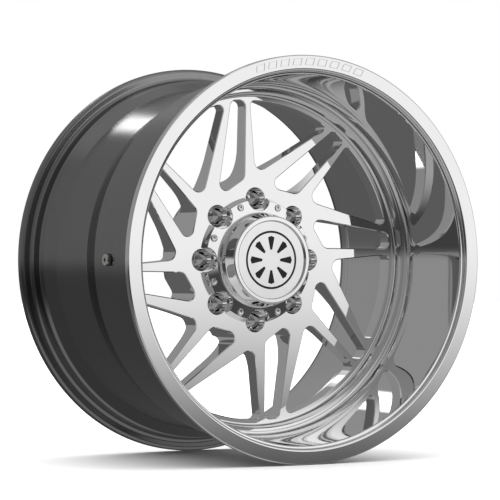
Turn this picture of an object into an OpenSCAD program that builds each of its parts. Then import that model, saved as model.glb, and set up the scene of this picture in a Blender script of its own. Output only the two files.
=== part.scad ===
// Two-piece forged wheel, 20 x 12 in, deep outboard dish, eight lug holes on a 170 mm circle.
// The wheel stands upright: its axis lies along Y, its face looks towards -Y, and the origin is
// on the axis at mid width. Profiles are drawn as [radius, height], with height measured from
// mid width towards the face, and stand_up() turns the finished shape upright.

/* [Rim] */
// Diameter over the bead seats
bead_d = 512.8; // [508:0.1:518]
// Width between the bead faces of the two flanges
rim_w = 304.8; // [298:0.1:312]
// Height of a flange above its bead seat
flange_h = 17.5; // [16:0.1:19]
// Thickness of a flange
flange_t = 13.1; // [12.5:0.1:15]
// Width of the flat outboard lip
lip_w = 17; // [14:0.5:18]
// Radius of the dish wall where it meets the lip
dish_r = 248.3; // [247:0.1:249]
// Radius of the seat that the centre is welded into
seat_r = 236; // [235:0.1:237]

/* [Centre] */
// Height of the spoke face above mid width
face_h = 21.2; // [19:0.1:23]
// Height of the hub mounting face (the wheel's offset)
offset_h = -44; // [-46:0.5:-42]
// Thickness of the spokes at the rim
spoke_t = 21.7; // [20:0.1:24]
// Radius of the hub pad on the back
pad_r = 110; // [108:1:112]
// Radius that the windows reach
window_r = 220; // [218:0.5:222]
// Number of window pairs and of lug holes
sectors = 8; // [8:1:8]

/* [Hub] */
// Diameter of the lug circle
lug_pcd = 170; // [169:0.1:171]
// Radius of a lug hole
lug_r = 8; // [7.5:0.1:8.5]
// Radius of the pocket around a lug nut
pocket_r = 15; // [14.5:0.1:15.5]
// Radius of the hub bore
bore_r = 62.5; // [61:0.1:63]
// Length of the hub bore
bore_len = 40; // [36:1:42]

/* [Cap] */
// Outer radius of the cap ring at its foot
ring_foot_r = 87.5; // [86:0.1:88]
// Outer radius of the cap ring at its front
ring_top_r = 83; // [82:0.1:84]
// Thickness of the cap ring
ring_t = 12.7; // [12:0.1:14]
// Radius of the cap's rim
cap_r = 60; // [59:0.1:61]
// Height of the cap above the spoke face
cap_h = 46.4; // [45:0.1:48]
// Radius of the circle of cap screws
screw_circle_r = 77.5; // [77:0.1:78]

/* [Valve] */
// Height of the valve above mid width
valve_h = 65.5; // [62:0.5:68]
// Distance from the axis to the flat under the valve's washer
valve_seat_x = 245.7; // [245.6:0.1:245.9]
// Length of the valve stem above that flat
stem_len = 36; // [34:0.5:40]

/* [Hidden] */
$fn = 96;

eps = 0.05;
half_w = rim_w / 2 + flange_t;
flange_r = bead_d / 2 + flange_h;
bead_r = bead_d / 2;
bead_face_h = rim_w / 2;
lip_in_r = flange_r - 0.9 - lip_w;
sector_a = 360 / sectors;

// Where the centre sits in the barrel
seat_back_h = face_h - spoke_t;
seat_front_h = face_h + 15.3;
inner_wall_r = seat_r - 6.5;

lug_circle_r = lug_pcd / 2;
cap_bore_r = 59;
cap_bore_h = offset_h + bore_len;
ring_top_h = face_h + ring_t;
neck_r = 63.2;
neck_top_h = ring_top_h + 15.6;
cap_top_h = face_h + cap_h;
scallop_r = 17.5;
cap_screw_r = 2.5;
cap_screw_len = 20;
cap_head_r = 4.55;
cap_screw_seat_h = ring_top_h - 2.9;
ring_fall = 2.5;

// Valve heights count from the flat under its washer, towards the wheel's axis
valve_wall_t = 4.8;
stem_r = 3.85;
stem_bore_r = 2.6;
core_r = 2.45;
core_low = stem_len - 17;
core_top = stem_len - 3;
pin_r = 0.55;

polished = [0.86, 0.87, 0.88];
satin = [0.36, 0.37, 0.38];
rubber = [0.07, 0.07, 0.07];
steel = [0.72, 0.73, 0.75];
brass = [0.78, 0.62, 0.32];
enamel = [0.12, 0.12, 0.13];

// Points along an arc or a quarter ellipse
function arc(centre, ra, rb, from, to, steps = 8) =
    [for (i = [0:steps])
        let (a = from + (to - from) * i / steps)
        [centre[0] + ra * cos(a), centre[1] + rb * sin(a)]];

// Where two lines cross, each given by two points
function crossing(p, q, s, t) =
    let (d = q - p, e = t - s, n = d[0] * e[1] - d[1] * e[0], w = s - p)
    p + d * (w[0] * e[1] - w[1] * e[0]) / n;

// An arc of radius r that rounds the corner b between a and c
function round_corner(a, b, c, r, steps = 6) =
    let (
        u = (a - b) / norm(a - b),
        v = (c - b) / norm(c - b),
        half = acos(u * v) / 2,
        m = b + (u + v) / norm(u + v) * r / sin(half),
        p = b + u * r / tan(half) - m,
        q = b + v * r / tan(half) - m,
        from = atan2(p[1], p[0]),
        turn = atan2(p[0] * q[1] - p[1] * q[0], p * q)
    )
    [for (i = [0:steps]) m + r * [cos(from + turn * i / steps), sin(from + turn * i / steps)]];

// Points on a circle about the wheel's axis
function on_circle(r, from, to, steps) =
    [for (i = [0:steps]) let (a = from + (to - from) * i / steps) r * [cos(a), sin(a)]];

module stand_up() {
    rotate([90, 0, 0]) children();
}

module ring(profile, steps = 180) {
    stand_up() rotate_extrude($fn = steps) polygon(profile);
}

module around(count = sectors, start = 0) {
    for (i = [0:count - 1]) rotate([0, 0, start + i * 360 / count]) children();
}

// ---- Barrel ----

// Tyre side of a flange: its edge, bead face, bead seat and safety hump
function flange_edge(side) =
    let (f = bead_face_h)
    concat(
        [for (p = arc([flange_r - 6, f + 6], 6, 6, 0, -90)) [p[0], side * p[1]]],
        [for (p = arc([bead_r + 6.5, f - 6.5], 6.5, 6.5, 90, 180)) [p[0], side * p[1]]],
        [
            [bead_r - 0.9, side * (f - 16.6)],
            [bead_r - 0.2, side * (f - 18.4)],
            [bead_r - 0.1, side * (f - 20)],
            [bead_r - 0.5, side * (f - 21.6)],
            [bead_r - 2.2, side * (f - 23.5)],
        ]
    );

module valve_axis() {
    translate([-valve_seat_x, 0, 0]) translate([0, -valve_h, 0]) rotate([0, 90, 0]) children();
}

// A row of plain slanted outlines engraved in the lip
module lip_engraving() {
    bars = 9;
    bar_pitch = 4.2;
    groove = 0.9;
    depth = 0.6;
    for (i = [0:bars - 1])
        rotate([0, 0, (i - (bars - 1) / 2) * bar_pitch])
            translate([0, lip_in_r + lip_w / 2, half_w - depth])
                linear_extrude(1) difference() {
                    lip_bar(13, 9.5);
                    lip_bar(13 - 2 * groove, 9.5 - 2 * groove);
                }
}

module lip_bar(length, height) {
    slant = height / 3;
    polygon([
        [-length / 2 - slant / 2, -height / 2],
        [length / 2 - slant / 2, -height / 2],
        [length / 2 + slant / 2, height / 2],
        [-length / 2 + slant / 2, height / 2],
    ]);
}

module rim_barrel() {
    edge = 1.4;
    front = [
        [flange_r - edge, half_w],
        [flange_r, half_w - edge],
    ];
    well = [
        [252, 119],
        [249.6, face_h + 1.5],
        [249, face_h - 1],
        [236.8, -24],
        [235.6, -27],
        [235.4, -31],
        [242.6, -105.5],
        [243.4, -108],
        [252.6, -127.6],
    ];
    rear_flange = [for (i = [len(flange_edge(-1)) - 1:-1:0]) flange_edge(-1)[i]];
    rear_curl = concat(
        arc([flange_r - 3, -half_w + 3], 3, 3, 0, -90, 5),
        arc([flange_r - 8, -half_w + 17], 15.5, 17, -90, -180)
    );
    back = [
        [248.2, -136],
        [246.4, -129.5],
        [237.2, -108.5],
        [inner_wall_r + 0.4, -31],
        [inner_wall_r, -27],
        [inner_wall_r, seat_back_h],
        [seat_r, seat_back_h],
        [seat_r, seat_front_h - 0.8],
        [seat_r + 0.8, seat_front_h],
    ];
    dish = concat(
        arc([seat_r + 0.8, seat_front_h + 20], 8.4, 20, -90, 0, 10),
        [
            [dish_r, half_w - 9],
            [dish_r + 0.6, half_w - 7.8],
            [dish_r + 1.8, half_w - 7],
            [lip_in_r - 3.5, half_w - 6.6],
        ],
        arc([lip_in_r, half_w - 3.5], 3.5, 3.5, 180, 90, 6)
    );
    color(satin) difference() {
        ring(concat(front, flange_edge(1), well, rear_flange, rear_curl, back, dish), 240);
        stand_up() lip_engraving();
        valve_axis() cylinder(r = 5.75, h = 30, center = true);
        valve_axis() cylinder(r = 10, h = 10);
        valve_axis() translate([0, 0, -14.8]) cylinder(r = 10.5, h = 10);
    }
}

// ---- Centre ----

// Three-sided window. Its two straight edges meet in a tip that points at the hub.
function wide_window() =
    let (
        edge_a = [[-7.1, 212.4], [-0.7, 137.5]],
        edge_b = [[16.8, 127.8], [108.2, 179.7]],
        tip = crossing(edge_a[0], edge_a[1], edge_b[0], edge_b[1]),
        a0 = 92.03,
        b0 = 57.5,
        a = window_r * [cos(a0), sin(a0)],
        b = window_r * [cos(b0), sin(b0)],
        arc_pts = on_circle(window_r, a0 - 3, b0 + 3, 7)
    )
    concat(
        round_corner(a, tip, b, 11, 8),
        round_corner(tip, b, arc_pts[7], 7),
        [for (i = [6:-1:1]) arc_pts[i]],
        round_corner(arc_pts[0], a, tip, 7)
    );

// Four-sided slot, wide at the hub and narrow at the rim
function slot_window() =
    let (
        edge_a = [[-39.2, 211.8], [-55.3, 107.7]],
        edge_b = [[-15.5, 211.8], [-16.8, 120.5]],
        edge_c = [[-44.7, 95], [-19.2, 111.4]],
        outer = [[-60, window_r - 2.2], [0, window_r + 1.8]],
        p = crossing(edge_a[0], edge_a[1], outer[0], outer[1]),
        q = crossing(edge_b[0], edge_b[1], outer[0], outer[1]),
        s = crossing(edge_b[0], edge_b[1], edge_c[0], edge_c[1]),
        t = crossing(edge_a[0], edge_a[1], edge_c[0], edge_c[1])
    )
    concat(
        round_corner(t, p, q, 9),
        round_corner(p, q, s, 9),
        round_corner(q, s, t, 11),
        round_corner(s, t, p, 9.3, 8)
    );

module wheel_centre() {
    profile = concat(
        [
            [cap_bore_r, cap_bore_h],
            [cap_bore_r, face_h - 0.8],
            [cap_bore_r + 0.8, face_h],
        ],
        arc([seat_r - 10.5, seat_front_h], 6.5, seat_front_h - face_h, -90, 0, 8),
        [
            [seat_r - 0.8, seat_front_h],
            [seat_r - eps, seat_front_h - 0.8],
            [seat_r - eps, seat_back_h + eps],
            [seat_r - 12, seat_back_h + eps],
        ],
        arc([pad_r + 48, offset_h], 48, 42, 90, 180, 12),
        [
            [bore_r + 1.5, offset_h],
            [bore_r, offset_h + 1.5],
            [bore_r, cap_bore_h],
        ]
    );
    seat_h = offset_h + 13.4;
    cone_h = 6.6;
    cone_r = lug_r + cone_h * tan(30);
    color(polished) difference() {
        ring(profile, 240);
        stand_up() around() {
            translate([0, 0, offset_h - 1]) linear_extrude(70) polygon(wide_window());
            translate([0, 0, offset_h - 1]) linear_extrude(70) polygon(slot_window());
            translate([0, lug_circle_r, 0]) {
                translate([0, 0, offset_h - 1]) cylinder(r = lug_r, h = 20);
                translate([0, 0, seat_h]) cylinder(r1 = lug_r, r2 = cone_r, h = cone_h);
                translate([0, 0, seat_h + cone_h - eps]) cylinder(r = pocket_r, h = 60);
            }
        }
        stand_up() around(start = sector_a / 2)
            translate([0, screw_circle_r, face_h - 12]) cylinder(r = cap_screw_r + 0.02, h = 20);
    }
}

// Fillet weld between the back of the centre and the barrel
module weld_bead() {
    leg = 5;
    corner = [inner_wall_r - eps, seat_back_h];
    color(satin) ring(concat([corner], arc(corner, leg, leg, 180, 270, 6)), 180);
}

// ---- Centre cap ----

module scallops() {
    around() {
        translate([0, lug_circle_r, face_h - 1]) cylinder(r = scallop_r, h = 60);
        translate([-scallop_r, lug_circle_r, face_h - 1]) cube([2 * scallop_r, 30, 60]);
    }
}

module cap_ring() {
    profile = concat(
        [
            [54, face_h - 14],
            [cap_bore_r - 0.8, face_h - 14],
            [cap_bore_r - eps, face_h - 13],
            [cap_bore_r - eps, face_h - 9.2],
            [cap_bore_r - 1.7, face_h - 9.2],
            [cap_bore_r - 1.7, face_h - 6.2],
            [cap_bore_r - eps, face_h - 6.2],
            [cap_bore_r - eps, face_h],
            [ring_foot_r, face_h],
            [ring_top_r + 0.3, ring_top_h - ring_fall - 0.9],
            [ring_top_r - 0.5, ring_top_h - ring_fall],
        ],
        arc([neck_r + 3.6, ring_top_h + 3.6], 3.6, 3.6, 270, 180, 8),
        [
            [neck_r, neck_top_h],
            [57.2, neck_top_h],
            [57.2, ring_top_h],
            [54, ring_top_h],
        ]
    );
    color(polished) difference() {
        ring(profile, 180);
        stand_up() scallops();
        stand_up() around(start = sector_a / 2) translate([0, screw_circle_r, 0]) {
            translate([0, 0, face_h - 1]) cylinder(r = cap_screw_r + 0.25, h = 20);
            translate([0, 0, cap_screw_seat_h]) cylinder(r = cap_head_r + 0.5, h = 5);
        }
    }
}

module cap_cup() {
    side_r = 64;
    profile = concat(
        [
            [50, neck_top_h - 9],
            [57, neck_top_h - 9],
            [57, neck_top_h - 6],
            [55.4, neck_top_h - 6],
            [55.4, neck_top_h - 3.4],
            [57, neck_top_h - 3.4],
            [57, neck_top_h],
            [side_r - 0.4, neck_top_h],
            [side_r, neck_top_h + 0.6],
        ],
        arc([cap_r - 1.2, cap_top_h - 1.2], 1.4, 1.2, 10, 90, 5),
        [
            [53.6, cap_top_h],
            [53.2, cap_top_h - 0.4],
            [53.2, cap_top_h - 5],
            [0, cap_top_h - 5],
            [0, cap_top_h - 8.5],
            [47, cap_top_h - 8.5],
            [50, cap_top_h - 11.5],
        ]
    );
    color(polished) ring(profile, 180);
}

module emblem_shapes() {
    difference() {
        circle(r = 40);
        circle(r = 37);
    }
    around() polygon([[-1.6, 14], [1.6, 14], [5.2, 31], [0, 33], [-5.2, 31]]);
}

module cap_face_plate() {
    plate_t = 2;
    inlay_t = 0.8;
    color(polished) stand_up() translate([0, 0, cap_top_h - 5]) difference() {
        cylinder(r = 53.2 - eps, h = plate_t);
        translate([0, 0, plate_t - inlay_t]) linear_extrude(2) emblem_shapes();
    }
}

module cap_emblem() {
    color(enamel) stand_up() translate([0, 0, cap_top_h - 3.8]) linear_extrude(0.9) emblem_shapes();
}

module cap_ring_seal() {
    color(rubber) ring(arc([cap_bore_r - 0.85, face_h - 7.7], 0.8, 1.3, 0, 345, 23), 120);
}

module cap_cup_seal() {
    color(rubber) ring(arc([56.3, neck_top_h - 4.7], 0.8, 1.2, 0, 345, 23), 120);
}

module button_screw() {
    head_h = 2.75;
    difference() {
        union() {
            rotate_extrude($fn = 48) polygon(concat(
                [[0, 0], [cap_head_r - 0.3, 0], [cap_head_r, 0.4]],
                arc([cap_head_r - 1.3, head_h - 1.3], 1.3, 1.3, 0, 90, 7),
                [[0, head_h]]
            ));
            translate([0, 0, -cap_screw_len]) cylinder(r = cap_screw_r, h = cap_screw_len + 1, $fn = 32);
        }
        translate([0, 0, head_h - 1.6]) cylinder(r = 1.75, h = 3, $fn = 6);
    }
}

module cap_screws() {
    color(steel) stand_up() around(start = sector_a / 2)
        translate([0, screw_circle_r, cap_screw_seat_h]) button_screw();
}

// ---- Valve ----

module turned(profile, steps = 64) {
    valve_axis() rotate_extrude($fn = steps) polygon(profile);
}

module valve_stem() {
    head = -valve_wall_t - 3;
    head_r = 8;
    root_r = 4.15;
    color(steel) turned([
        [stem_bore_r, head - 2.8],
        [head_r - 0.4, head - 2.8],
        [head_r, head - 2.2],
        [head_r, head],
        [root_r, head],
        [root_r, 9],
        [stem_r, 10],
        [stem_r, stem_len - 0.6],
        [stem_r - 0.55, stem_len],
        [stem_bore_r, stem_len],
        [stem_bore_r, core_low - 4],
        [stem_bore_r - 0.6, core_low - 5.5],
        [stem_bore_r - 0.6, 1],
        [stem_bore_r, 0],
    ]);
}

module valve_grommet() {
    color(rubber) turned([
        [4.2, -valve_wall_t - 3],
        [7.4, -valve_wall_t - 3],
        [8.3, -valve_wall_t - 2],
        [8.5, -valve_wall_t],
        [5.7, -valve_wall_t],
        [5.7, -0.6],
        [4.2, -0.6],
    ]);
}

module valve_washer() {
    color(steel) turned([[4.3, 0], [8, 0], [8.25, 0.3], [8.25, 1.2], [4.3, 1.2]]);
}

module valve_nut() {
    nut_t = 5.5;
    color(steel) valve_axis() translate([0, 0, 1.2]) difference() {
        intersection() {
            cylinder(r = 7, h = nut_t, $fn = 6);
            rotate_extrude($fn = 64)
                polygon([[0, 0], [7.1, 0], [7.1, nut_t - 0.8], [6.2, nut_t], [0, nut_t]]);
        }
        translate([0, 0, -1]) cylinder(r = 4.22, h = 10);
    }
}

// Sleeve that screws into the stem, with a shoulder inside for the spring
module valve_core_body() {
    groove = core_low + 5.4;
    color(brass) turned([
        [pin_r + 0.07, core_low],
        [core_r - 0.5, core_low],
        [core_r, core_low + 1],
        [core_r, groove],
        [core_r - 0.45, groove],
        [core_r - 0.45, groove + 1.6],
        [core_r, groove + 1.6],
        [core_r, core_top],
        [1.35, core_top],
        [1.35, core_low + 1.3],
        [pin_r + 0.07, core_low + 1.3],
    ], 48);
}

module valve_core_seal() {
    low = core_low + 5.5;
    color(rubber) turned([
        [core_r - 0.4, low],
        [core_r + 0.1, low],
        [core_r + 0.13, low + 0.7],
        [core_r + 0.1, low + 1.4],
        [core_r - 0.4, low + 1.4],
    ], 48);
}

// Pin through the core: the plunger that holds its seal below, the spring's seat above
module valve_core_pin() {
    color(brass) turned([
        [0, core_low - 3.6],
        [1.7, core_low - 3.6],
        [1.7, core_low - 2.6],
        [pin_r, core_low - 2.6],
        [pin_r, core_top + 1.3],
        [1.2, core_top + 1.3],
        [1.2, core_top + 2.2],
        [0, core_top + 2.2],
    ], 32);
}

module valve_pin_seal() {
    color(rubber) turned([
        [pin_r + 0.05, core_low - 2.5],
        [1.8, core_low - 2.5],
        [1.8, core_low - 0.1],
        [pin_r + 0.05, core_low - 0.1],
    ], 32);
}

// Coil spring between the core body's shoulder and the head of the pin
module valve_core_spring() {
    sides = 6;
    turns = 8;
    per_turn = 14;
    wire_r = 0.13;
    coil_r = 0.98;
    low = core_low + 1.5;
    high = core_top + 1.1;
    count = turns * per_turn;
    pts = [for (i = [0:count]) let (a = i * 360 / per_turn)
        for (k = [0:sides - 1]) let (b = k * 360 / sides, r = coil_r + wire_r * cos(b))
            [r * cos(a), r * sin(a), low + (high - low) * i / count + wire_r * sin(b)]];
    skin = [for (i = [0:count - 1]) for (k = [0:sides - 1])
        let (a = i * sides + k, b = i * sides + (k + 1) % sides, c = a + sides, d = b + sides)
        for (face = [[a, d, b], [a, c, d]]) face];
    first = [for (k = [0:sides - 1]) k];
    last = [for (k = [sides - 1:-1:0]) count * sides + k];
    color(steel) valve_axis() polyhedron(points = pts, faces = concat([first], skin, [last]));
}

module valve_cap() {
    grips = 16;
    mouth = stem_len - 10;
    outer_r = 5.2;
    color(satin) valve_axis() difference() {
        translate([0, 0, mouth]) cylinder(r = outer_r, h = 13.6);
        translate([0, 0, mouth - 1]) cylinder(r = stem_r + 0.1, h = 12.4);
        around(grips) translate([outer_r + 0.3, 0, mouth + 1.4]) cylinder(r = 0.6, h = 10, $fn = 16);
    }
}

module valve_cap_seal() {
    low = stem_len + 0.2;
    color(rubber) turned([[0, low], [3.7, low], [3.7, low + 1.15], [0, low + 1.15]], 48);
}

rim_barrel();
wheel_centre();
weld_bead();
cap_ring();
cap_cup();
cap_face_plate();
cap_emblem();
cap_ring_seal();
cap_cup_seal();
cap_screws();
valve_stem();
valve_grommet();
valve_washer();
valve_nut();
valve_core_body();
valve_core_seal();
valve_core_pin();
valve_pin_seal();
valve_core_spring();
valve_cap();
valve_cap_seal();
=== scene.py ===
import math
import bpy
import numpy as np
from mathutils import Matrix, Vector, geometry


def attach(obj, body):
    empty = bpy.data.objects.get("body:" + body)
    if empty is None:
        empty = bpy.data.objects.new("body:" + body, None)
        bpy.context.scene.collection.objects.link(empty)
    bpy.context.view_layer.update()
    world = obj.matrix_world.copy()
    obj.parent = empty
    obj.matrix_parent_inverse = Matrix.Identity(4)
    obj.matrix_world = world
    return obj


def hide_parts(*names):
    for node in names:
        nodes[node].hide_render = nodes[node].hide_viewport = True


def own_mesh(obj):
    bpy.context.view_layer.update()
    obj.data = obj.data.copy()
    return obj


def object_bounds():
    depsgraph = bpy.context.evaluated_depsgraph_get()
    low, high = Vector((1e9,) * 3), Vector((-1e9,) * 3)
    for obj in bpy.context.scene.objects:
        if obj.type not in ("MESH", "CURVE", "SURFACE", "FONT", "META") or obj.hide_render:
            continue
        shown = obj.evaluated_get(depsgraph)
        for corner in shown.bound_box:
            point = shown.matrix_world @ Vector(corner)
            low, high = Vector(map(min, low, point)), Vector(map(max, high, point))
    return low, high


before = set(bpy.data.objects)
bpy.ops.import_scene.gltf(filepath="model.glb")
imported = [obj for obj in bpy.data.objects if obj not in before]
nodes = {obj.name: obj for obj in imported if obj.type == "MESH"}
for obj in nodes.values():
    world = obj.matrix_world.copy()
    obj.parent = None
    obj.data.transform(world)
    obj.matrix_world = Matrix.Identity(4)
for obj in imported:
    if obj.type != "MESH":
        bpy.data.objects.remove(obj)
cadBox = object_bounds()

print("frame loaded")

# Shapes are worked out in millimetres as (x, y, height): the wheel lies on its back and height
# grows out of the face. standUp turns that into the row frame in metres.


def standUp(p):
    return np.stack([p[..., 0], -p[..., 2], p[..., 1]], -1)


# Each vector divided by its own length
def unit(v):
    return v / np.maximum(np.linalg.norm(v, axis=-1, keepdims=True), 1e-12)


# Counterclockwise about the origin: (x cos a - y sin a, x sin a + y cos a)
def turn(p, degrees):
    a = math.radians(degrees)
    return p @ np.array([[math.cos(a), math.sin(a)], [-math.sin(a), math.cos(a)]])


# centre + (ra cos t, rb sin t), t evenly from start to end in degrees
def arc(centre, ra, rb, start, end, steps=8):
    t = np.radians(np.linspace(start, end, steps + 1))
    return np.stack([centre[0] + ra * np.cos(t), centre[1] + rb * np.sin(t)], -1)


def circle(r, steps, centre=(0, 0)):
    return arc(centre, r, r, 0, 360, steps)[:-1]


def angles(steps):
    return np.linspace(0, 2 * np.pi, steps, endpoint=False)


def radiusOf(p):
    return np.linalg.norm(p, axis=-1)


def between(p, low, high):
    return (radiusOf(p) > low) & (radiusOf(p) < high)


# Radius of a hexagon whose corners are at 1: cos 30 over the cosine of the angle from the middle
# of the nearest side
def hexagonAt(a):
    return math.cos(math.pi / 6) / np.cos((a + math.pi / 6) % (math.pi / 3) - math.pi / 6)


# Quads between neighbouring rows of a grid whose columns close round
def gridQuads(rows, cols):
    i, j = np.meshgrid(np.arange(rows - 1), np.arange(cols), indexing="ij")
    after = (j + 1) % cols
    quads = [i * cols + j, (i + 1) * cols + j, (i + 1) * cols + after, i * cols + after]
    return np.stack(quads, -1).reshape(-1, 4)


# Where the lines p-q and s-t cross
def crossing(p, q, s, t):
    d, e, w = q - p, t - s, s - p
    return p + d * (w[0] * e[1] - w[1] * e[0]) / (d[0] * e[1] - d[1] * e[0])


# The arc of radius r that touches both sides of the corner b, between a and c
def roundCorner(a, b, c, r, steps=8):
    u, v = unit(a - b), unit(c - b)
    half = math.acos(max(-1.0, min(1.0, float(u @ v)))) / 2
    m = b + unit(u + v) * r / math.sin(half)
    p, q = b + u * r / math.tan(half) - m, b + v * r / math.tan(half) - m
    start = math.atan2(p[1], p[0])
    sweepAngle = math.atan2(p[0] * q[1] - p[1] * q[0], p @ q)
    t = start + sweepAngle * np.linspace(0, 1, steps + 1)
    return m + r * np.stack([np.cos(t), np.sin(t)], -1)


# Every corner of an open line that turns by more than limit degrees gets an arc of radius r,
# or smaller where its sides are short
def softened(line, r, limit=14, steps=4):
    line = np.asarray(line, float)
    out = [line[:1]]
    for a, b, c in zip(line[:-2], line[1:-1], line[2:]):
        u, v = unit(b - a), unit(c - b)
        bend = math.degrees(math.acos(max(-1.0, min(1.0, float(u @ v)))))
        if bend < limit or bend > 175:
            out.append(b[None])
            continue
        room = 0.45 * min(np.linalg.norm(b - a), np.linalg.norm(c - b))
        out.append(roundCorner(a, b, c, min(r, room / math.tan(math.radians(bend) / 2)), steps))
    return np.concatenate(out + [line[-1:]])


# Each side of a closed line is cut into equal pieces no longer than step
def refined(line, step):
    after = np.roll(line, -1, 0)
    pieces = np.maximum(1, np.ceil(np.linalg.norm(after - line, axis=1) / step)).astype(int)
    side = np.repeat(np.arange(len(line)), pieces)
    k = np.arange(len(side)) - np.repeat(np.cumsum(pieces) - pieces, pieces)
    return line[side] + (after - line)[side] * (k / pieces[side])[:, None]


# At each point of a line, the normals of the sides before and after it. A side's normal is its
# direction turned a quarter clockwise. Where the line bends by less than about 25 degrees both
# are the mean weighted by length to the fourth, so a flat keeps its own normal beside a fillet.
def lineNormals(line, closed):
    side = np.roll(line, -1, axis=-2) - line
    size = np.linalg.norm(side, axis=-1, keepdims=True)
    normal = np.stack([side[..., 1], -side[..., 0]], -1) / np.maximum(size, 1e-9)
    before, sizeBefore = np.roll(normal, 1, axis=-2), np.roll(size, 1, axis=-2)
    if not closed:
        before[..., 0, :] = normal[..., 0, :]
        normal[..., -1, :] = before[..., -1, :]
    mean = unit(normal * size ** 4 + before * sizeBefore ** 4)
    sharp = (normal * before).sum(-1, keepdims=True) < 0.9
    return np.where(sharp, before, mean), np.where(sharp, normal, mean)


# How far each point of a closed line moves when all its sides move out by 1: the sum of the two
# normals over 1 plus their product
def mitre(line):
    before, after = lineNormals(line, True)
    return (before + after) / (1 + (before * after).sum(-1, keepdims=True))


def grown(line, by):
    return line + mitre(line) * by


def addObject(name, data):
    made = bpy.data.objects.new(name, data)
    bpy.context.scene.collection.objects.link(made)
    return made


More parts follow.
